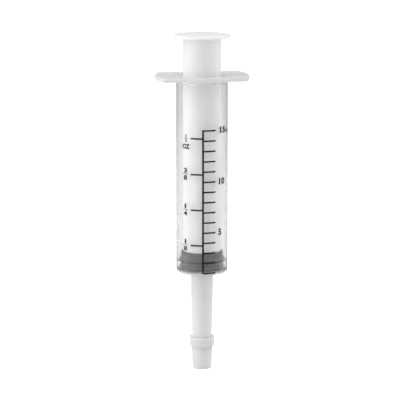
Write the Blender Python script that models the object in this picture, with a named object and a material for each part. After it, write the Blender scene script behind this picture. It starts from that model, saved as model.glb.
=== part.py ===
"""A 15 ml medicine dropper of the plunger kind, standing on the end of its cap.

Five moulded pieces share one axis, Z. From the top down they are the hollow plunger with its
thumb rest, the rubber seal that snaps into the plunger's foot, the clear barrel with its finger
flange, the soft dropper tip pushed onto the barrel's spigot, and the cap pushed onto the tip.
Driving dimensions are millimetres measured from the cap's end. Profiles are (radius, height,
fillet) rows, and the third number is 0 where a corner is left square.
"""

import math

import bmesh
import bpy

MM = 0.001
SEGMENTS = 48
FILLET_STEPS = 3
SHARP_DEG = 35

# Barrel: the tube the medicine is drawn into
BARREL_R = 9.9
BORE_R = 8.95
BARREL_FOOT = 39.0
FLOOR_TOP = 40.1
FOOT_ROUND = 0.5
BORE_END_ROUND = 0.3
BEAD_R = 8.6
BEAD_LOW = 112.5
BEAD_HIGH = 113.3
MOUTH_FLARE = 0.3

# Finger flange, moulded with the barrel
FLANGE_LOW = 113.6
FLANGE_TOP = 115.2
FLANGE_LENGTH = 35.7
FLANGE_WIDTH = 21.6
FLANGE_CORNER_R = 2.2
FLANGE_END_BULGE = 1.4
FLANGE_EDGE_ROUND = 0.35
FLANGE_ROOT_R = 0.6

# Boss and slip spigot under the barrel's floor
BOSS_R = 4.45
BOSS_LOW = 38.3
BOSS_ROUND = 0.2
SPIGOT_ROOT_R = 2.95
SPIGOT_END_R = 2.85
SPIGOT_END = 27.7
SPIGOT_END_ROUND = 0.3
OUTLET_R = 1.9

# Rubber seal
SEAL_GAP = 0.2
SEAL_LOW = FLOOR_TOP + SEAL_GAP
SEAL_HEIGHT = 6.55
RIB_R = 8.85
GROOVE_R = 8.15
RIB_ROUND = 0.25
RIB_SLOPE = 0.15
LOW_RIB_TOP = 1.0
HIGH_RIB_LOW = 3.1
HIGH_RIB_TOP = 4.2
NECK_R = 5.0
SNAP_R = 5.7
SNAP_LOW = 1.7
SNAP_TOP = 4.45
SEAL_CROWN_ROUND = 0.4
SNAP_EDGE_ROUND = 0.2
SNAP_CROWN_ROUND = 0.8

# Plunger: a hollow tube under a thumb rest
PLUNGER_R = 7.25
PLUNGER_BORE_R = 5.9
PLUNGER_GAP = 0.2
LIP_R = 5.15
LIP_HEIGHT = 1.3
FOOT_EDGE_ROUND = 0.3
CROWN_ROUND = 0.5
REST_R = 10.95
REST_LOW = 129.3
REST_RIM_TOP = 130.4
REST_TOP = 130.8
REST_FLAT_R = 5.0
REST_ROOT_R = 0.6
REST_TOP_ROUND = 0.4
REST_UNDER_ROUND = 0.35

# Dropper tip: a soft tube pushed onto the spigot, with a narrow spout
TIP_TOP = 38.1
TIP_TOP_R = 4.4
TIP_COLLAR_Z = 12.7
TIP_COLLAR_R = 3.8
TIP_SHOULDER = 8.7
TIP_SHOULDER_R = 3.6
SOCKET_GAP = 0.12
SOCKET_END = 27.2
TIP_BORE_TOP_R = 2.45
TIP_BORE_END_R = 1.9
TIP_BORE_END = 10.2
SPOUT_R = 2.0
SPOUT_END_R = 1.75
SPOUT_END = 2.2
ORIFICE_R = 0.9
TIP_TOP_ROUND = 0.25
SHOULDER_ROUND = 0.3
SPOUT_ROOT_ROUND = 0.2
SPOUT_END_ROUND = 0.3
SOCKET_ROUND = 0.15

# Cap, pushed up over the spout
CAP_TOP = 12.7
CAP_COLLAR_R = 5.0
CAP_COLLAR_FOOT_R = 4.88
CAP_COLLAR_LOW = 9.3
CAP_COLLAR_SLOPE = 0.2
CAP_TOP_R = 4.15
CAP_END_R = 3.75
CAP_GAP = 0.12
CAP_SEAT = 8.4
CAP_WELL_R = 2.3
CAP_WELL_FLOOR = 1.5
CAP_END_ROUND = 0.6
CAP_COLLAR_FOOT_ROUND = 0.3
CAP_COLLAR_TOP_ROUND = 0.4
CAP_MOUTH_ROUND = 0.15
CAP_WELL_ROUND = 0.3


def rounded(corners):
    """The closed profile through these (radius, height, fillet) rows, in metres."""
    points = []
    count = len(corners)
    for index, (r, z, fillet) in enumerate(corners):
        if not fillet:
            points.append((r * MM, z * MM))
            continue
        before = corners[index - 1]
        after = corners[(index + 1) % count]
        to_before = (before[0] - r, before[1] - z)
        to_after = (after[0] - r, after[1] - z)
        length_before = math.hypot(*to_before)
        length_after = math.hypot(*to_after)
        unit_before = (to_before[0] / length_before, to_before[1] / length_before)
        unit_after = (to_after[0] / length_after, to_after[1] / length_after)
        half = math.acos(unit_before[0] * unit_after[0] + unit_before[1] * unit_after[1]) / 2
        reach = fillet / math.tan(half)
        middle = (unit_before[0] + unit_after[0], unit_before[1] + unit_after[1])
        scale = fillet / math.sin(half) / math.hypot(*middle)
        centre = (r + middle[0] * scale, z + middle[1] * scale)
        start = (r + unit_before[0] * reach, z + unit_before[1] * reach)
        end = (r + unit_after[0] * reach, z + unit_after[1] * reach)
        first = math.atan2(start[1] - centre[1], start[0] - centre[0])
        sweep = math.atan2(end[1] - centre[1], end[0] - centre[0]) - first
        sweep = (sweep + math.pi) % (2 * math.pi) - math.pi
        for step in range(FILLET_STEPS + 1):
            angle = first + sweep * step / FILLET_STEPS
            points.append(
                ((centre[0] + fillet * math.cos(angle)) * MM,
                 (centre[1] + fillet * math.sin(angle)) * MM)
            )
    return points


def new_object(name, bm):
    bmesh.ops.recalc_face_normals(bm, faces=bm.faces)
    mesh = bpy.data.meshes.new(name)
    bm.to_mesh(mesh)
    bm.free()
    item = bpy.data.objects.new(name, mesh)
    bpy.context.scene.collection.objects.link(item)
    return item


def turned(name, corners):
    """A solid of revolution about Z. A profile that touches the axis is solid there."""
    bm = bmesh.new()
    points = [bm.verts.new((r, 0, z)) for r, z in rounded(corners)]
    on_axis = corners[0][0] == 0 and corners[-1][0] == 0
    ring = points if on_axis else points + points[:1]
    edges = [bm.edges.new(pair) for pair in zip(ring, ring[1:])]
    bmesh.ops.spin(
        bm, geom=points + edges, cent=(0, 0, 0), axis=(0, 0, 1),
        angle=2 * math.pi, steps=SEGMENTS, use_merge=True,
    )
    bmesh.ops.remove_doubles(bm, verts=bm.verts, dist=MM / 1000)
    return new_object(name, bm)


def flange_plate(name):
    """The finger flange as a solid plate: straight long sides and gently bulged ends."""
    half_length = FLANGE_LENGTH / 2
    half_width = FLANGE_WIDTH / 2
    side = half_length - FLANGE_END_BULGE
    corner = (side - FLANGE_CORNER_R, half_width - FLANGE_CORNER_R)
    quarter = []
    for step in range(7):
        angle = math.radians(90 - 15 * step)
        quarter.append((corner[0] + FLANGE_CORNER_R * math.cos(angle),
                        corner[1] + FLANGE_CORNER_R * math.sin(angle)))
    end = quarter[-1]
    for step in range(1, 4):
        share = step / 3
        quarter.append((end[0] + FLANGE_END_BULGE * math.sin(share * math.pi / 2),
                        end[1] * (1 - share)))
    right = quarter + [(x, -y) for x, y in reversed(quarter[:-1])]
    outline = right + [(-x, -y) for x, y in right]
    bm = bmesh.new()
    low = [bm.verts.new((x * MM, y * MM, FLANGE_LOW * MM)) for x, y in outline]
    face = bm.faces.new(low)
    grown = bmesh.ops.extrude_face_region(bm, geom=[face])["geom"]
    top = [item for item in grown if isinstance(item, bmesh.types.BMVert)]
    bmesh.ops.translate(bm, verts=top, vec=(0, 0, (FLANGE_TOP - FLANGE_LOW) * MM))
    plate = new_object(name, bm)
    bevel = plate.modifiers.new("edge_round", "BEVEL")
    bevel.width = FLANGE_EDGE_ROUND * MM
    bevel.segments = 3
    bevel.limit_method = "ANGLE"
    bevel.angle_limit = math.radians(60)
    return plate


def as_tool(item):
    """Hides a solid that only shapes another one."""
    item.hide_render = True
    item.display_type = "WIRE"
    return item


def combine(target, tool, operation):
    boolean = target.modifiers.new(tool.name, "BOOLEAN")
    boolean.operation = operation
    boolean.solver = "EXACT"
    boolean.object = as_tool(tool)


def finish(item, colour, roughness, alpha=1.0):
    """Smooth shading with sharp corners kept, and the piece's own material."""
    item.data.shade_smooth()
    item.data.set_sharp_from_angle(angle=math.radians(SHARP_DEG))
    material = bpy.data.materials.new(item.name)
    material.use_nodes = True
    shader = material.node_tree.nodes["Principled BSDF"]
    shader.inputs["Base Color"].default_value = (*colour, 1)
    shader.inputs["Roughness"].default_value = roughness
    shader.inputs["Alpha"].default_value = alpha
    item.data.materials.append(material)


def make_barrel():
    """The tube, its flange and its spigot are one moulding, bored out from the mouth down."""
    barrel = turned("barrel", [
        (0, FLANGE_TOP - FLANGE_EDGE_ROUND, 0),
        (BARREL_R, FLANGE_TOP - FLANGE_EDGE_ROUND, 0),
        (BARREL_R, FLANGE_LOW, 0),
        (BARREL_R + FLANGE_ROOT_R, FLANGE_LOW, 0),
        (BARREL_R, FLANGE_LOW - FLANGE_ROOT_R, 0),
        (BARREL_R, BARREL_FOOT, FOOT_ROUND),
        (BOSS_R, BARREL_FOOT, BOSS_ROUND),
        (BOSS_R, BOSS_LOW, BOSS_ROUND),
        (SPIGOT_ROOT_R, BOSS_LOW, 0),
        (SPIGOT_END_R, SPIGOT_END, SPIGOT_END_ROUND),
        (0, SPIGOT_END, 0),
    ])
    combine(barrel, flange_plate("flange_plate"), "UNION")
    over_mouth = FLANGE_TOP + 1
    below_spigot = SPIGOT_END - 1
    bead_slope = BORE_R - BEAD_R
    combine(barrel, turned("bore_tool", [
        (0, over_mouth, 0),
        (BORE_R + MOUTH_FLARE, over_mouth, 0),
        (BORE_R + MOUTH_FLARE, FLANGE_TOP, 0),
        (BORE_R, FLANGE_TOP - MOUTH_FLARE, 0),
        (BORE_R, BEAD_HIGH + bead_slope, 0),
        (BEAD_R, BEAD_HIGH, 0),
        (BEAD_R, BEAD_LOW, 0),
        (BORE_R, BEAD_LOW - bead_slope / 2, 0),
        (BORE_R, FLOOR_TOP, BORE_END_ROUND),
        (OUTLET_R, FLOOR_TOP, 0),
        (OUTLET_R, below_spigot, 0),
        (0, below_spigot, 0),
    ]), "DIFFERENCE")
    finish(barrel, (0.86, 0.87, 0.88), 0.25, 0.4)


def make_seal():
    """The rubber seal wipes the bore with two ribs, and its head snaps over the plunger's lip."""
    low = SEAL_LOW
    seal_top = low + SEAL_HEIGHT
    seal = turned("piston_seal", [
        (0, low, 0),
        (RIB_R, low, RIB_ROUND),
        (RIB_R, low + LOW_RIB_TOP, RIB_ROUND),
        (GROOVE_R, low + LOW_RIB_TOP + RIB_SLOPE, 0),
        (GROOVE_R, low + HIGH_RIB_LOW - RIB_SLOPE, 0),
        (RIB_R, low + HIGH_RIB_LOW, RIB_ROUND),
        (RIB_R, low + HIGH_RIB_TOP, RIB_ROUND),
        (GROOVE_R, low + HIGH_RIB_TOP + RIB_SLOPE, 0),
        (GROOVE_R, seal_top, SEAL_CROWN_ROUND),
        (NECK_R, seal_top, 0),
        (NECK_R, seal_top + SNAP_LOW, 0),
        (SNAP_R, seal_top + SNAP_LOW + SNAP_R - NECK_R, SNAP_EDGE_ROUND),
        (SNAP_R, seal_top + SNAP_TOP, SNAP_CROWN_ROUND),
        (0, seal_top + SNAP_TOP, 0),
    ])
    finish(seal, (0.11, 0.115, 0.12), 0.55)


def make_plunger():
    """A plain hollow tube, open at the foot, with a gently domed thumb rest."""
    foot = SEAL_LOW + SEAL_HEIGHT + PLUNGER_GAP
    lip_top = foot + LIP_HEIGHT
    plunger = turned("plunger", [
        (0, REST_TOP, 0),
        (REST_FLAT_R, REST_TOP, 0),
        (REST_R, REST_RIM_TOP, REST_TOP_ROUND),
        (REST_R, REST_LOW, REST_UNDER_ROUND),
        (PLUNGER_R, REST_LOW, REST_ROOT_R),
        (PLUNGER_R, foot, FOOT_EDGE_ROUND),
        (LIP_R, foot, FOOT_EDGE_ROUND),
        (LIP_R, lip_top, 0),
        (PLUNGER_BORE_R, lip_top + PLUNGER_BORE_R - LIP_R, 0),
        (PLUNGER_BORE_R, REST_LOW, CROWN_ROUND),
        (0, REST_LOW, 0),
    ])
    finish(plunger, (0.88, 0.89, 0.90), 0.35)


def make_tip():
    """The soft tip: a socket for the spigot, a tapering bore, then a narrow spout."""
    tip = turned("dropper_tip", [
        (TIP_TOP_R, TIP_TOP, TIP_TOP_ROUND),
        (TIP_COLLAR_R, TIP_COLLAR_Z, 0),
        (TIP_SHOULDER_R, TIP_SHOULDER, SHOULDER_ROUND),
        (SPOUT_R, TIP_SHOULDER, SPOUT_ROOT_ROUND),
        (SPOUT_END_R, SPOUT_END, SPOUT_END_ROUND),
        (ORIFICE_R, SPOUT_END, 0),
        (ORIFICE_R, TIP_SHOULDER, 0),
        (TIP_BORE_END_R, TIP_BORE_END, 0),
        (TIP_BORE_TOP_R, SOCKET_END, 0),
        (SPIGOT_END_R + SOCKET_GAP, SOCKET_END, 0),
        (SPIGOT_ROOT_R + SOCKET_GAP, TIP_TOP, SOCKET_ROUND),
    ])
    finish(tip, (0.80, 0.81, 0.82), 0.4, 0.85)


def make_cap():
    """The push-on cap: a gripping collar, a seat for the tip's shoulder and a well for the spout."""
    cap = turned("tip_cap", [
        (0, 0, 0),
        (CAP_END_R, 0, CAP_END_ROUND),
        (CAP_TOP_R, CAP_COLLAR_LOW - CAP_COLLAR_SLOPE, 0),
        (CAP_COLLAR_FOOT_R, CAP_COLLAR_LOW, CAP_COLLAR_FOOT_ROUND),
        (CAP_COLLAR_R, CAP_TOP, CAP_COLLAR_TOP_ROUND),
        (TIP_COLLAR_R + CAP_GAP, CAP_TOP, CAP_MOUTH_ROUND),
        (TIP_SHOULDER_R + CAP_GAP, CAP_SEAT, 0),
        (CAP_WELL_R, CAP_SEAT, 0),
        (CAP_WELL_R, CAP_WELL_FLOOR, CAP_WELL_ROUND),
        (0, CAP_WELL_FLOOR, 0),
    ])
    finish(cap, (0.82, 0.83, 0.84), 0.4, 0.85)


for leftover in list(bpy.data.objects):
    bpy.data.objects.remove(leftover, do_unlink=True)

make_barrel()
make_seal()
make_plunger()
make_tip()
make_cap()
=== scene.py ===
"""A 15 ml medicine dropper of the plunger kind, standing on its cap on a pale table top."""
import math

import bmesh
import bpy
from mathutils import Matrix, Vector


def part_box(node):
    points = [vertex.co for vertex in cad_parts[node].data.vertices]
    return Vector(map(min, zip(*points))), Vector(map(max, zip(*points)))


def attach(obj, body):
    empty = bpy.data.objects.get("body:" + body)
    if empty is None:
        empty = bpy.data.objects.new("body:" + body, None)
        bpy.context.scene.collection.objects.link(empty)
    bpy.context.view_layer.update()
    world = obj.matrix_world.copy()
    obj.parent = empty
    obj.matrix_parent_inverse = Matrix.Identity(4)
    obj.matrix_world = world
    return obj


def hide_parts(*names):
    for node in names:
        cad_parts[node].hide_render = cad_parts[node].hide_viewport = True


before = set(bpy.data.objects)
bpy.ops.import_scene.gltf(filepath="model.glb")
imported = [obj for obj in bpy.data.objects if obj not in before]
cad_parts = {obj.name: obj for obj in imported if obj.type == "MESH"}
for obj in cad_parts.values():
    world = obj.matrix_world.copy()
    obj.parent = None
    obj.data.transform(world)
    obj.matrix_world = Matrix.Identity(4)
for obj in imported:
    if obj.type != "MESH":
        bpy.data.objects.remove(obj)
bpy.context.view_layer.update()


# Barrel: the measuring tube, with its finger flange and its slip spigot in the same moulding.
# Clear polypropylene, injected in one shot. The tube is a little hazy, and the flange, being
# thicker and rougher, looks milky.
MM = 0.001
BARREL_R = 9.9
BORE_R = 8.95
FLANGE_THICK = 1.6
FLOOR_THICK = 1.1
BOSS_R = 4.45
BOSS_HEIGHT = 0.7
SPIGOT_ROOT_R = 2.95
SPIGOT_END_R = 2.85
SPIGOT_LENGTH = 10.6
BARREL_LOW, FLANGE_TOP = (corner[2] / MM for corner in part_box("barrel"))
FLANGE_LOW = FLANGE_TOP - FLANGE_THICK
FOOT = BARREL_LOW + SPIGOT_LENGTH + BOSS_HEIGHT
FLOOR_TOP = FOOT + FLOOR_THICK
TURN_STEPS = 192
FILLET_STEPS = 6


def moulded_profile(corners):
    """Points in metres along (radius, height, fillet) corners, each fillet drawn as an arc."""
    points = []
    for index, (r, z, fillet) in enumerate(corners):
        if not fillet:
            points.append((r * MM, z * MM))
            continue
        here = Vector((r, z))
        before = Vector(corners[index - 1][:2]) - here
        after = Vector(corners[(index + 1) % len(corners)][:2]) - here
        half = before.angle(after) / 2
        middle = before.normalized() + after.normalized()
        centre = here + middle.normalized() * fillet / math.sin(half)
        reach = fillet / math.tan(half)
        start = here + before.normalized() * reach - centre
        end = here + after.normalized() * reach - centre
        first = math.atan2(start.y, start.x)
        sweep = math.atan2(end.y, end.x) - first
        sweep = (sweep + math.pi) % (2 * math.pi) - math.pi
        for step in range(FILLET_STEPS + 1):
            angle = first + sweep * step / FILLET_STEPS
            points.append(((centre.x + fillet * math.cos(angle)) * MM,
                           (centre.y + fillet * math.sin(angle)) * MM))
    return points


def object_from(bm, name):
    """A new object in the scene from a bmesh, with its faces turned outwards."""
    bmesh.ops.recalc_face_normals(bm, faces=bm.faces)
    mesh = bpy.data.meshes.new(name)
    bm.to_mesh(mesh)
    bm.free()
    piece = bpy.data.objects.new(name, mesh)
    bpy.context.scene.collection.objects.link(piece)
    return piece


def turned(name, corners):
    """A moulding turned about the dropper's axis. A profile that meets the axis closes there."""
    bm = bmesh.new()
    points = [bm.verts.new((r, 0, z)) for r, z in moulded_profile(corners)]
    on_axis = corners[0][0] == 0 and corners[-1][0] == 0
    ring = points if on_axis else points + points[:1]
    edges = [bm.edges.new(pair) for pair in zip(ring, ring[1:])]
    bmesh.ops.spin(bm, geom=points + edges, cent=(0, 0, 0), axis=(0, 0, 1),
                   angle=2 * math.pi, steps=TURN_STEPS, use_merge=True)
    bmesh.ops.remove_doubles(bm, verts=bm.verts, dist=1e-7)
    return object_from(bm, name)


def smooth(piece):
    piece.data.shade_smooth()
    piece.data.set_sharp_from_angle(angle=math.radians(32))


def apply_modifiers(piece):
    """Replaces a piece's mesh with what its modifiers make of it."""
    graph = bpy.context.evaluated_depsgraph_get()
    made = bpy.data.meshes.new_from_object(piece.evaluated_get(graph))
    piece.modifiers.clear()
    piece.data = made


def boolean(piece, tool, operation):
    cut = piece.modifiers.new(tool.name, "BOOLEAN")
    cut.operation = operation
    cut.solver = "EXACT"
    cut.object = tool
    apply_modifiers(piece)
    bpy.data.objects.remove(tool, do_unlink=True)


# The flange is a flat plate with bulging ends and rounded corners.
FLANGE_HALF_LENGTH, FLANGE_HALF_WIDTH = (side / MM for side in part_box("barrel")[1][:2])
FLANGE_CORNER_R = 2.2
FLANGE_END_BULGE = 1.4
FLANGE_EDGE_ROUND = 0.4
CORNER_STEPS = 12


def flange_outline():
    """Half of the flange's edge, from its front middle round by +X to its back middle."""
    side = FLANGE_HALF_LENGTH - FLANGE_END_BULGE
    cx = side - FLANGE_CORNER_R
    cy = FLANGE_HALF_WIDTH - FLANGE_CORNER_R

    def corner(middle_y, first_degrees):
        for step in range(CORNER_STEPS + 1):
            angle = math.radians(first_degrees + 90 * step / CORNER_STEPS)
            points.append((cx + FLANGE_CORNER_R * math.cos(angle),
                           middle_y + FLANGE_CORNER_R * math.sin(angle)))

    points = []
    corner(-cy, -90)
    for step in range(1, 2 * CORNER_STEPS):
        share = step / CORNER_STEPS - 1
        points.append((side + FLANGE_END_BULGE * math.cos(share * math.pi / 2), share * cy))
    corner(cy, 0)
    return points


half_outline = flange_outline()
bm = bmesh.new()
rim = [bm.verts.new((x * MM, y * MM, FLANGE_LOW * MM)) for x, y in half_outline]
rim += [bm.verts.new((-x * MM, -y * MM, FLANGE_LOW * MM)) for x, y in half_outline]
plate = bmesh.ops.extrude_face_region(bm, geom=[bm.faces.new(rim)])["geom"]
raised = [part for part in plate if isinstance(part, bmesh.types.BMVert)]
bmesh.ops.translate(bm, verts=raised, vec=(0, 0, FLANGE_THICK * MM))
flange = object_from(bm, "flange_blank")
edge = flange.modifiers.new("edge", "BEVEL")
edge.width = FLANGE_EDGE_ROUND * MM
edge.segments = 5
edge.limit_method = "ANGLE"
edge.angle_limit = math.radians(60)
apply_modifiers(flange)

barrel = turned("clear_barrel", [
    (0, FLANGE_TOP - 0.5, 0),
    (BARREL_R, FLANGE_TOP - 0.5, 0),
    (BARREL_R, FLANGE_LOW, 0),
    (BARREL_R + 0.6, FLANGE_LOW + 0.02, 0),
    (BARREL_R + 0.2, FLANGE_LOW - 0.15, 0),
    (BARREL_R, FLANGE_LOW - 0.6, 0),
    (BARREL_R, FOOT + 1.0, 0),
    (BARREL_R, FOOT, 0.5),
    (BOSS_R, FOOT, 0.2),
    (BOSS_R, FOOT - BOSS_HEIGHT, 0.2),
    (SPIGOT_ROOT_R, FOOT - BOSS_HEIGHT, 0),
    (SPIGOT_END_R, BARREL_LOW, 0.3),
    (0, BARREL_LOW, 0),
])
boolean(barrel, flange, "UNION")

# The bore has a bead just inside its mouth that keeps the seal in, and an outlet at its foot.
OUTLET_R = 1.9
BEAD_R = 8.6
BEAD_HEIGHT = 0.8
BEAD_TOP = FLANGE_TOP - 1.9
boolean(barrel, turned("bore", [
    (0, FLANGE_TOP + 1, 0),
    (BORE_R + 0.3, FLANGE_TOP + 1, 0),
    (BORE_R + 0.3, FLANGE_TOP, 0),
    (BORE_R, FLANGE_TOP - 0.3, 0),
    (BORE_R, BEAD_TOP + 0.35, 0),
    (BEAD_R, BEAD_TOP, 0.1),
    (BEAD_R, BEAD_TOP - BEAD_HEIGHT, 0.1),
    (BORE_R, BEAD_TOP - BEAD_HEIGHT - 0.18, 0),
    (BORE_R, FLOOR_TOP, 0.35),
    (OUTLET_R, FLOOR_TOP, 0.2),
    (OUTLET_R, BARREL_LOW - 1, 0),
    (0, BARREL_LOW - 1, 0),
]), "DIFFERENCE")
smooth(barrel)


def link(tree, source, socket):
    tree.links.new(source, socket)


def node(tree, kind, **values):
    """A shader or geometry node with its properties set."""
    made = tree.nodes.new(kind)
    for key, value in values.items():
        setattr(made, key, value)
    return made


def plastic(name, pale, deep, rough, peel, streak=1.0, milk=0.0, clear=0.0, bend=1.49):
    """Moulded plastic: cloudy tint, uneven gloss, orange peel and faint draw lines.

    pale and deep are the greys of its thin and thick clouds, rough the lowest and highest
    roughness, peel the depth of its orange peel in metres, streak how little its marks change
    along the axis, milk how far light spreads under the skin in metres, clear how much light
    passes through, and bend how much that light is bent."""
    material = bpy.data.materials.new(name)
    material.use_nodes = True
    tree = material.node_tree
    shader = tree.nodes["Principled BSDF"]
    place = node(tree, "ShaderNodeTexCoord")
    along = node(tree, "ShaderNodeMapping")
    along.inputs["Scale"].default_value = (1, 1, streak)
    link(tree, place.outputs["Object"], along.inputs["Vector"])

    cloud = node(tree, "ShaderNodeTexNoise")
    cloud.inputs["Scale"].default_value = 130
    cloud.inputs["Detail"].default_value = 4
    link(tree, along.outputs["Vector"], cloud.inputs["Vector"])
    tint = node(tree, "ShaderNodeMix", data_type="RGBA")
    tint.inputs["A"].default_value = (deep, deep, deep, 1)
    tint.inputs["B"].default_value = (pale, pale, pale, 1)
    link(tree, cloud.outputs["Fac"], tint.inputs["Factor"])
    link(tree, tint.outputs["Result"], shader.inputs["Base Color"])

    gloss = node(tree, "ShaderNodeTexNoise")
    gloss.inputs["Scale"].default_value = 420
    gloss.inputs["Detail"].default_value = 5
    link(tree, along.outputs["Vector"], gloss.inputs["Vector"])
    spread = node(tree, "ShaderNodeMapRange")
    spread.inputs["From Min"].default_value = 0.3
    spread.inputs["From Max"].default_value = 0.7
    spread.inputs["To Min"].default_value = rough[0]
    spread.inputs["To Max"].default_value = rough[1]
    link(tree, gloss.outputs["Fac"], spread.inputs["Value"])
    link(tree, spread.outputs["Result"], shader.inputs["Roughness"])

    skin = node(tree, "ShaderNodeTexNoise")
    skin.inputs["Scale"].default_value = 1600
    skin.inputs["Detail"].default_value = 3
    link(tree, along.outputs["Vector"], skin.inputs["Vector"])
    bump = node(tree, "ShaderNodeBump")
    bump.inputs["Strength"].default_value = 0.35
    bump.inputs["Distance"].default_value = peel
    link(tree, skin.outputs["Fac"], bump.inputs["Height"])
    link(tree, bump.outputs["Normal"], shader.inputs["Normal"])

    shader.inputs["IOR"].default_value = bend
    shader.inputs["Transmission Weight"].default_value = clear
    if milk:
        shader.inputs["Subsurface Weight"].default_value = 0.6
        shader.inputs["Subsurface Radius"].default_value = (1, 1, 1)
        shader.inputs["Subsurface Scale"].default_value = milk
    if clear:
        shadow = node(tree, "ShaderNodeLightPath")
        open_to_light = node(tree, "ShaderNodeBsdfTransparent")
        either = node(tree, "ShaderNodeMixShader")
        past = node(tree, "ShaderNodeMath", operation="MULTIPLY")
        past.inputs[1].default_value = min(1, clear * 1.1)
        link(tree, shadow.outputs["Is Shadow Ray"], past.inputs[0])
        link(tree, past.outputs[0], either.inputs["Fac"])
        link(tree, shader.outputs["BSDF"], either.inputs[1])
        link(tree, open_to_light.outputs["BSDF"], either.inputs[2])
        output = tree.nodes["Material Output"]
        link(tree, either.outputs["Shader"], output.inputs["Surface"])
    return material


barrel.data.materials.clear()
barrel.data.materials.append(
    plastic("clear_polypropylene", 1.0, 0.98, (0.04, 0.07), 0.000001, streak=0.06, clear=0.94,
            bend=1.32))
barrel.data.materials.append(
    plastic("cloudy_polypropylene", 0.99, 0.97, (0.3, 0.45), 0.000005, milk=0.002, clear=0.4))
CLEAR_FROM = FOOT + 0.9
CLEAR_TO = FLANGE_LOW - 0.3
for face in barrel.data.polygons:
    face.material_index = int(not CLEAR_FROM < face.center.z / MM < CLEAR_TO)
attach(barrel, "barrel")
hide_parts("barrel")


# Printed scale: cubic centimetres on the right of a spine, ounces on its left.
# Black pad-printing ink, a film a few hundredths of a millimetre proud of the barrel.
INK_LIFT = 0.004
INK_DEPTH = 0.03
INK_BEND_STEP = 0.3
LINE_WEIGHT = 0.6
SPINE_AT = math.radians(-5.7)
SPINE_HALF = 0.36
CC_END = math.radians(23)
OZ_END = math.radians(-34)
CC_PITCH = 3.935
CC_FIRST = FOOT + 1.0
CC_LINES = 15
OZ_PITCH = 13.75
OZ_FIRST = FOOT + 11.8
OZ_LINES = 4

ink = bpy.data.materials.new("scale_ink")
ink.use_nodes = True
tree = ink.node_tree
shader = tree.nodes["Principled BSDF"]
place = node(tree, "ShaderNodeTexCoord")
grain = node(tree, "ShaderNodeTexNoise")
grain.inputs["Scale"].default_value = 2600
grain.inputs["Detail"].default_value = 4
link(tree, place.outputs["Object"], grain.inputs["Vector"])
thin = node(tree, "ShaderNodeMix", data_type="RGBA")
thin.inputs["A"].default_value = (0.004, 0.004, 0.004, 1)
thin.inputs["B"].default_value = (0.016, 0.016, 0.016, 1)
link(tree, grain.outputs["Fac"], thin.inputs["Factor"])
link(tree, thin.outputs["Result"], shader.inputs["Base Color"])
dry = node(tree, "ShaderNodeMapRange")
dry.inputs["To Min"].default_value = 0.35
dry.inputs["To Max"].default_value = 0.75
link(tree, grain.outputs["Fac"], dry.inputs["Value"])
link(tree, dry.outputs["Result"], shader.inputs["Roughness"])
shader.inputs["Specular IOR Level"].default_value = 0.2


def maths(tree, operation, a, b=None, c=None):
    """A Math node in a geometry tree, whose inputs are sockets or numbers."""
    made = node(tree, "ShaderNodeMath", operation=operation)
    for socket, value in zip(made.inputs, (a, b, c)):
        if value is None:
            continue
        if isinstance(value, bpy.types.NodeSocket):
            link(tree, value, socket)
        else:
            socket.default_value = value
    return made.outputs[0]


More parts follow.
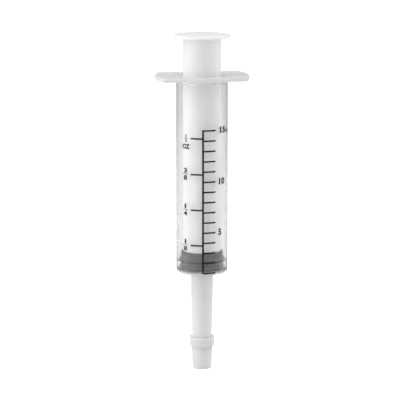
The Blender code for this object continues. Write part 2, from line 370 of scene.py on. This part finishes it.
def scale_lines_tree():
    """Geometry nodes for a column of equal marks, each bent round the barrel."""
    tree = bpy.data.node_groups.new("scale_lines", "GeometryNodeTree")
    face = tree.interface
    face.new_socket(name="Geometry", in_out="INPUT", socket_type="NodeSocketGeometry")
    for name in ("Barrel Radius", "First Height", "Pitch", "Start Angle", "End Angle",
                 "Line Weight", "Ink Depth"):
        face.new_socket(name=name, in_out="INPUT", socket_type="NodeSocketFloat")
    face.new_socket(name="Lines", in_out="INPUT", socket_type="NodeSocketInt")
    face.new_socket(name="Ink", in_out="INPUT", socket_type="NodeSocketMaterial")
    face.new_socket(name="Geometry", in_out="OUTPUT", socket_type="NodeSocketGeometry")
    given = node(tree, "NodeGroupInput").outputs

    first = node(tree, "ShaderNodeCombineXYZ")
    link(tree, given["First Height"], first.inputs["Z"])
    step = node(tree, "ShaderNodeCombineXYZ")
    link(tree, given["Pitch"], step.inputs["Z"])
    column = node(tree, "GeometryNodeMeshLine")
    link(tree, given["Lines"], column.inputs["Count"])
    link(tree, first.outputs["Vector"], column.inputs["Start Location"])
    link(tree, step.outputs["Vector"], column.inputs["Offset"])

    size = node(tree, "ShaderNodeCombineXYZ")
    size.inputs["X"].default_value = 1
    link(tree, given["Ink Depth"], size.inputs["Y"])
    link(tree, given["Line Weight"], size.inputs["Z"])
    mark = node(tree, "GeometryNodeMeshCube")
    mark.inputs["Vertices X"].default_value = 25
    link(tree, size.outputs["Vector"], mark.inputs["Size"])
    copies = node(tree, "GeometryNodeInstanceOnPoints")
    link(tree, column.outputs["Mesh"], copies.inputs["Points"])
    link(tree, mark.outputs["Mesh"], copies.inputs["Instance"])
    real = node(tree, "GeometryNodeRealizeInstances")
    link(tree, copies.outputs["Instances"], real.inputs["Geometry"])

    here = node(tree, "ShaderNodeSeparateXYZ")
    link(tree, node(tree, "GeometryNodeInputPosition").outputs["Position"], here.inputs["Vector"])
    share = maths(tree, "ADD", here.outputs["X"], 0.5)
    sweep = maths(tree, "SUBTRACT", given["End Angle"], given["Start Angle"])
    angle = maths(tree, "MULTIPLY_ADD", share, sweep, given["Start Angle"])
    middle = maths(tree, "MULTIPLY_ADD", given["Ink Depth"], 0.5, given["Barrel Radius"])
    radius = maths(tree, "SUBTRACT", middle, here.outputs["Y"])
    bent = node(tree, "ShaderNodeCombineXYZ")
    link(tree, maths(tree, "MULTIPLY", radius, maths(tree, "SINE", angle)), bent.inputs["X"])
    back = maths(tree, "MULTIPLY", radius, maths(tree, "COSINE", angle))
    link(tree, maths(tree, "MULTIPLY", back, -1.0), bent.inputs["Y"])
    link(tree, here.outputs["Z"], bent.inputs["Z"])
    wrap = node(tree, "GeometryNodeSetPosition")
    link(tree, real.outputs["Geometry"], wrap.inputs["Geometry"])
    link(tree, bent.outputs["Vector"], wrap.inputs["Position"])

    inked = node(tree, "GeometryNodeSetMaterial")
    link(tree, wrap.outputs["Geometry"], inked.inputs["Geometry"])
    link(tree, given["Ink"], inked.inputs["Material"])
    result = node(tree, "NodeGroupOutput")
    link(tree, inked.outputs["Geometry"], result.inputs["Geometry"])
    return tree


def made_by_nodes(name, tree, **values):
    """A piece whose mesh comes from a geometry tree, with named inputs set, then made plain."""
    piece = bpy.data.objects.new(name, bpy.data.meshes.new(name))
    bpy.context.scene.collection.objects.link(piece)
    maker = piece.modifiers.new(name, "NODES")
    maker.node_group = tree
    for item in tree.interface.items_tree:
        key = item.name.replace(" ", "_").lower()
        if item.in_out == "INPUT" and key in values:
            maker[item.identifier] = values[key]
    apply_modifiers(piece)
    return piece


def print_on_barrel(piece):
    """Rides a printed piece on the barrel."""
    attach(piece, "barrel")


lines = scale_lines_tree()
common = dict(barrel_radius=(BARREL_R + INK_LIFT) * MM, line_weight=LINE_WEIGHT * MM,
              ink_depth=INK_DEPTH * MM, ink=ink)
spine_edge = SPINE_HALF * 0.8 / BARREL_R
print_on_barrel(made_by_nodes(
    "cc_lines", lines, first_height=(CC_FIRST + CC_PITCH) * MM, pitch=CC_PITCH * MM,
    lines=CC_LINES - 2, start_angle=SPINE_AT + spine_edge, end_angle=CC_END, **common))
print_on_barrel(made_by_nodes(
    "ounce_lines", lines, first_height=OZ_FIRST * MM, pitch=OZ_PITCH * MM,
    lines=OZ_LINES, start_angle=OZ_END, end_angle=SPINE_AT - spine_edge, **common))


def wrapped(bm, name, angle, height):
    """Bends a flat drawing in millimetres, x to the right and y up, round the barrel."""
    cuts = int(max(abs(vert.co.x) for vert in bm.verts) / INK_BEND_STEP)
    for step in range(-cuts, cuts + 1):
        bmesh.ops.bisect_plane(bm, geom=bm.verts[:] + bm.edges[:] + bm.faces[:],
                               plane_co=(step * INK_BEND_STEP, 0, 0), plane_no=(1, 0, 0))
    for vert in bm.verts:
        at = angle + vert.co.x / BARREL_R
        radius = BARREL_R + INK_LIFT + vert.co.z
        vert.co = Vector((radius * math.sin(at), -radius * math.cos(at),
                          height + vert.co.y)) * MM
    piece = object_from(bm, name)
    piece.data.materials.append(ink)
    print_on_barrel(piece)


def outline_drawing(points):
    """A flat drawing of one closed outline, as thick as the ink."""
    bm = bmesh.new()
    base = bm.faces.new([bm.verts.new((x, y, 0)) for x, y in points])
    grown = bmesh.ops.extrude_face_region(bm, geom=[base])["geom"]
    tops = [part for part in grown if isinstance(part, bmesh.types.BMVert)]
    bmesh.ops.translate(bm, verts=tops, vec=(0, 0, INK_DEPTH))
    return bm


# The spine is drawn in one stroke with the lowest and highest lines, round at the lower corner.
spine_height = CC_PITCH * (CC_LINES - 1)
cc_reach = (CC_END - SPINE_AT) * BARREL_R
half_line = LINE_WEIGHT / 2
spine_corner_r = 0.55
spine = [(cc_reach, -half_line), (cc_reach, half_line), (SPINE_HALF, half_line),
         (SPINE_HALF, spine_height - half_line), (cc_reach, spine_height - half_line),
         (cc_reach, spine_height + half_line), (-SPINE_HALF, spine_height + half_line)]
for step in range(7):
    angle = math.radians(180 + 15 * step)
    spine.append((-SPINE_HALF + spine_corner_r * (1 + math.cos(angle)),
                  -half_line + spine_corner_r * (1 + math.sin(angle))))
wrapped(outline_drawing(spine), "scale_spine", SPINE_AT, CC_FIRST)


def lettering(text, tall, wide, bold):
    """A flat drawing of generic numbers or units, centred, this tall, wide and bold."""
    curve = bpy.data.curves.new("drawn_" + text, "FONT")
    curve.body = text
    curve.extrude = 0.05
    curve.offset = bold
    curve.resolution_u = 6
    drawn = bpy.data.objects.new("drawn_" + text, curve)
    bpy.context.scene.collection.objects.link(drawn)
    graph = bpy.context.evaluated_depsgraph_get()
    mesh = bpy.data.meshes.new_from_object(drawn.evaluated_get(graph))
    bpy.data.objects.remove(drawn, do_unlink=True)
    bm = bmesh.new()
    bm.from_mesh(mesh)
    bmesh.ops.remove_doubles(bm, verts=bm.verts, dist=1e-5)
    xs = [vert.co.x for vert in bm.verts]
    ys = [vert.co.y for vert in bm.verts]
    up = tall / (max(ys) - min(ys))
    across = wide / (max(xs) - min(xs))
    for vert in bm.verts:
        vert.co.x = (vert.co.x - (max(xs) + min(xs)) / 2) * across
        vert.co.y = (vert.co.y - (max(ys) + min(ys)) / 2) * up
        vert.co.z = INK_DEPTH if vert.co.z > 0 else 0
    return bm


# Each number is given with its width and how far its left edge stands right of the column.
NUMBER_TALL = 2.5
NUMBER_BOLD = 0.045
NUMBER_LEFT = math.radians(33)
NUMBERS = ((5, 1.6, -0.4), (10, 3.2, -0.1), (15, 3.2, 0.35))
CC_TALL = 1.5
CC_WIDE = 2.6
CC_BOLD = 0.03
CC_GAP = 0.35
for count, wide, shift in NUMBERS:
    wrapped(lettering(str(count), NUMBER_TALL, wide, NUMBER_BOLD), "number_%d" % count,
            NUMBER_LEFT + (wide / 2 + shift) / BARREL_R, CC_FIRST + CC_PITCH * (count - 1))
wrapped(lettering("cc", CC_TALL, CC_WIDE, CC_BOLD), "unit_cc",
        NUMBER_LEFT + (wide + shift + CC_GAP + CC_WIDE / 2) / BARREL_R,
        CC_FIRST + CC_PITCH * (CC_LINES - 1) - (NUMBER_TALL - CC_TALL) / 2)

# Each fraction is given with its size and its angle round the barrel. The half is the smallest,
# because the ounce sign stands under it.
FRACTION_AT = math.radians(-47.5)
HALF_OUNCE_AT = math.radians(-45.7)
FRACTIONS = (("1", "8", 1.0, FRACTION_AT), ("1", "4", 1.0, FRACTION_AT),
             ("3", "8", 1.0, FRACTION_AT), ("1", "2", 0.6, HALF_OUNCE_AT))
DIGIT_TALL = 1.9
DIGIT_BOLD = 0.04
DIGIT_GAP = 0.42
BAR_HALF_LENGTH = 1.3
BAR_HALF_WEIGHT = 0.1
OZ_TALL = 2.0
OZ_WIDE = 3.3
OZ_BOLD = 0.05
OZ_DROP = 3.1
for place_up, (top, under, scale, at) in enumerate(FRACTIONS):
    height = OZ_FIRST + OZ_PITCH * place_up
    half, tall = BAR_HALF_LENGTH * scale, DIGIT_TALL * scale
    bar = [(-half, -BAR_HALF_WEIGHT), (half, -BAR_HALF_WEIGHT),
           (half, BAR_HALF_WEIGHT), (-half, BAR_HALF_WEIGHT)]
    wrapped(outline_drawing(bar), "fraction_bar_%d" % place_up, at, height)
    for digit, side in ((top, 1), (under, -1)):
        wide = tall * (0.4 if digit == "1" else 0.9)
        wrapped(lettering(digit, tall, wide, DIGIT_BOLD),
                "fraction_%d_%s" % (place_up, "over" if side > 0 else "under"),
                at, height + side * (tall / 2 + DIGIT_GAP * scale))
wrapped(lettering("OZ", OZ_TALL, OZ_WIDE, OZ_BOLD), "unit_oz", HALF_OUNCE_AT,
        OZ_FIRST + OZ_PITCH * (OZ_LINES - 1) - OZ_DROP)


# Rubber seal: the piston that wipes the bore with two ribs, pushed on the plunger's foot.
# Dark grey moulded rubber. A stem on its top face has a head that snaps over the plunger's lip.
SEAL_LOW, SEAL_HIGH = (corner[2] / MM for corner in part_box("piston_seal"))
SEAL_TOP = SEAL_LOW + 6.55
PRESSED_R = BORE_R + 0.02
RIB_FOOT_R = 8.6
GROOVE_R = 8.15
NECK_R = 5.0
SNAP_R = 5.7
seal = turned("rubber_seal", [
    (0, SEAL_LOW, 0),
    (8.7, SEAL_LOW, 0.2),
    (PRESSED_R, SEAL_LOW + 0.25, 0.1),
    (PRESSED_R, SEAL_LOW + 0.6, 0.1),
    (RIB_FOOT_R, SEAL_LOW + 1.1, 0.3),
    (GROOVE_R, SEAL_LOW + 1.35, 0.2),
    (GROOVE_R, SEAL_LOW + 2.75, 0.2),
    (RIB_FOOT_R, SEAL_LOW + 2.95, 0.2),
    (PRESSED_R, SEAL_LOW + 3.3, 0.1),
    (PRESSED_R, SEAL_LOW + 3.65, 0.1),
    (RIB_FOOT_R, SEAL_LOW + 4.15, 0.3),
    (GROOVE_R, SEAL_LOW + 4.45, 0.2),
    (GROOVE_R, SEAL_TOP, 0.45),
    (NECK_R, SEAL_TOP, 0.15),
    (NECK_R, SEAL_TOP + 1.7, 0),
    (SNAP_R, SEAL_TOP + 2.4, 0.2),
    (SNAP_R, SEAL_HIGH, 0.8),
    (0, SEAL_HIGH, 0),
])
smooth(seal)
seal.data.materials.append(
    plastic("grey_rubber", 0.03, 0.018, (0.42, 0.6), 0.00005, bend=1.4))
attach(seal, "seal")
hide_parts("piston_seal")


# Plunger: a smooth hollow tube under a thin, slightly domed thumb rest.
# White polypropylene, open at the foot, where an inner lip holds the seal's head.
PLUNGER_LOW, PLUNGER_HIGH = (corner[2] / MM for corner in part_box("plunger"))
PLUNGER_R = 7.25
PLUNGER_BORE_R = 5.9
LIP_R = 5.15
REST_R = 10.95
REST_LOW = PLUNGER_HIGH - 1.5
plunger = turned("white_plunger", [
    (0, PLUNGER_HIGH, 0),
    (5.0, PLUNGER_HIGH, 0),
    (REST_R, PLUNGER_HIGH - 0.4, 0.45),
    (REST_R, REST_LOW, 0.4),
    (PLUNGER_R, REST_LOW, 0.6),
    (PLUNGER_R, PLUNGER_LOW, 0.3),
    (LIP_R, PLUNGER_LOW, 0.3),
    (LIP_R, PLUNGER_LOW + 1.3, 0),
    (PLUNGER_BORE_R, PLUNGER_LOW + 2.05, 0),
    (PLUNGER_BORE_R, REST_LOW, 0.5),
    (0, REST_LOW, 0),
])
smooth(plunger)
plunger.data.materials.append(
    plastic("white_polypropylene", 0.91, 0.89, (0.28, 0.34), 0.000002, streak=0.4, milk=0.0015))
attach(plunger, "plunger")
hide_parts("plunger")


# Dropper tip: a tapering soft tube pushed onto the barrel's spigot, ending in a narrow spout.
# Milky low-density polyethylene, moulded, with the socket at its wide end.
TIP_LOW, TIP_HIGH = (corner[2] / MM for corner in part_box("dropper_tip"))
SHOULDER = TIP_LOW + 6.5
SOCKET_END = TIP_LOW + 25.0
SOCKET_GAP = 0.12
ORIFICE_R = 0.9
tip = turned("milky_tip", [
    (4.4, TIP_HIGH, 0.3),
    (4.38, TIP_HIGH - 5.0, 0),
    (4.16, TIP_HIGH - 12.0, 0),
    (3.8, TIP_LOW + 10.5, 0),
    (3.6, SHOULDER, 0.35),
    (2.0, SHOULDER, 0.25),
    (1.75, TIP_LOW, 0.3),
    (ORIFICE_R, TIP_LOW, 0.1),
    (ORIFICE_R, SHOULDER, 0),
    (1.9, SHOULDER + 1.5, 0),
    (2.45, SOCKET_END, 0),
    (SPIGOT_END_R + SOCKET_GAP, SOCKET_END, 0),
    (SPIGOT_ROOT_R + SOCKET_GAP, TIP_HIGH, 0.15),
])
smooth(tip)
milky = plastic("milky_polyethylene", 0.975, 0.95, (0.42, 0.56), 0.000006, streak=0.4, milk=0.003,
                clear=0.15)
tip.data.materials.append(milky)
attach(tip, "tip")
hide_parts("dropper_tip")


# Cap: pushed up over the spout as far as the tip's shoulder.
# Milky low-density polyethylene, with a raised collar at its mouth for the fingers.
CAP_LOW, CAP_HIGH = (corner[2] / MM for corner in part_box("tip_cap"))
CAP_SEAT = CAP_HIGH - 4.3
SPOUT_ROOM_R = 2.3
SPOUT_ROOM_LOW = CAP_LOW + 1.5
cap = turned("milky_cap", [
    (0, CAP_LOW, 0),
    (3.75, CAP_LOW, 0.7),
    (3.98, CAP_LOW + 6.0, 0),
    (4.15, CAP_HIGH - 3.8, 0.6),
    (4.88, CAP_HIGH - 3.4, 0.35),
    (5.0, CAP_HIGH, 0.4),
    (3.83, CAP_HIGH, 0.1),
    (3.7, CAP_SEAT, 0),
    (SPOUT_ROOM_R, CAP_SEAT, 0.1),
    (SPOUT_ROOM_R, SPOUT_ROOM_LOW, 0.3),
    (0, SPOUT_ROOM_LOW, 0),
])
smooth(cap)
cap.data.materials.append(milky)
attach(cap, "cap")
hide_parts("tip_cap")


# Studio: a plain pale table top under the cap, soft light from all round, and the camera.
# The walls are brightest at the sides, so that round pieces shade gently towards their middles.
CAMERA_AZIMUTH = math.radians(-8)
CAMERA_RISE = math.radians(11.2)
CAMERA_DISTANCE = 0.70
CAMERA_LENS = 163.8
CAMERA_SIDESTEP = 0.75
MIDDLE = (0, 0, 0.0667)

floor_mesh = bpy.data.meshes.new("table_top")
bm = bmesh.new()
bmesh.ops.create_circle(bm, cap_ends=True, radius=12, segments=96)
bmesh.ops.translate(bm, verts=bm.verts, vec=(0, 0, -0.00005))
bm.to_mesh(floor_mesh)
bm.free()
floor = bpy.data.objects.new("table_top", floor_mesh)
bpy.context.scene.collection.objects.link(floor)
white_card = bpy.data.materials.new("table_top")
white_card.use_nodes = True
card = white_card.node_tree.nodes["Principled BSDF"]
card.inputs["Base Color"].default_value = (0.72, 0.72, 0.72, 1)
card.inputs["Roughness"].default_value = 0.9
card.inputs["Specular IOR Level"].default_value = 0.1
card.inputs["Emission Color"].default_value = (1, 1, 1, 1)
tree = white_card.node_tree
seen = node(tree, "ShaderNodeLightPath")
link(tree, maths(tree, "MULTIPLY_ADD", seen.outputs["Is Camera Ray"], 0.75, 0.05),
     card.inputs["Emission Strength"])
floor_mesh.materials.append(white_card)
floor.visible_glossy = False

# How bright the walls are, by the angle round from the camera in degrees.
BRIGHTEST = 2.0
WALLS = ((-180, 0.5), (-140, 0.62), (-110, 1.2), (-60, 1.2), (-30, 1.1), (-12, 0.64),
         (10, 0.5), (35, 0.62), (75, 0.98), (110, 1.1), (140, 0.6), (180, 0.5))
world = bpy.data.worlds.new("studio")
world.use_nodes = True
bpy.context.scene.world = world
tree = world.node_tree
sky = tree.nodes["Background"]
looking = node(tree, "ShaderNodeTexCoord")
way = node(tree, "ShaderNodeSeparateXYZ")
link(tree, looking.outputs["Generated"], way.inputs["Vector"])
turn = maths(tree, "ARCTAN2", way.outputs["X"], maths(tree, "MULTIPLY", way.outputs["Y"], -1.0))
turn = maths(tree, "SUBTRACT", turn, CAMERA_AZIMUTH)
glow = node(tree, "ShaderNodeFloatCurve")
link(tree, maths(tree, "MULTIPLY_ADD", turn, 0.5 / math.pi, 0.5), glow.inputs["Value"])
walls = glow.mapping.curves[0]
for degrees, light in WALLS:
    at, height = degrees / 360 + 0.5, light / BRIGHTEST
    if degrees in (-180, 180):
        walls.points[0 if degrees < 0 else -1].location = (at, height)
    else:
        walls.points.new(at, height)
glow.mapping.update()
link(tree, maths(tree, "MULTIPLY", glow.outputs["Value"], BRIGHTEST), sky.inputs["Strength"])
sky.inputs["Color"].default_value = (1, 1, 1, 1)


def softbox(name, at, aim, size, power):
    lamp = bpy.data.lights.new(name, "AREA")
    lamp.shape = "RECTANGLE"
    lamp.size, lamp.size_y = size
    lamp.energy = power
    holder = bpy.data.objects.new(name, lamp)
    bpy.context.scene.collection.objects.link(holder)
    holder.location = at
    holder.rotation_euler = (Vector(aim) - Vector(at)).to_track_quat("-Z", "Y").to_euler()


softbox("left_softbox", (-0.75, -0.10, 0.22), MIDDLE, (0.45, 0.8), 1.5)
softbox("right_softbox", (0.75, 0.05, 0.22), MIDDLE, (0.45, 0.8), 1.2)
softbox("top_softbox", (0, 0.1, 0.9), MIDDLE, (0.6, 0.6), 1.0)

to_camera = Vector((math.sin(CAMERA_AZIMUTH) * math.cos(CAMERA_RISE),
                    -math.cos(CAMERA_AZIMUTH) * math.cos(CAMERA_RISE),
                    math.sin(CAMERA_RISE)))
rightwards = Vector((math.cos(CAMERA_AZIMUTH), math.sin(CAMERA_AZIMUTH), 0))
aim = Vector(MIDDLE) - rightwards * CAMERA_SIDESTEP * MM
lens = bpy.data.cameras.new("camera")
lens.lens = CAMERA_LENS
lens.sensor_width = 36
camera = bpy.data.objects.new("camera", lens)
bpy.context.scene.collection.objects.link(camera)
camera.location = aim + to_camera * CAMERA_DISTANCE
camera.rotation_euler = (-to_camera).to_track_quat("-Z", "Y").to_euler()
bpy.context.scene.camera = camera
bpy.context.scene.view_settings.view_transform = "Standard"
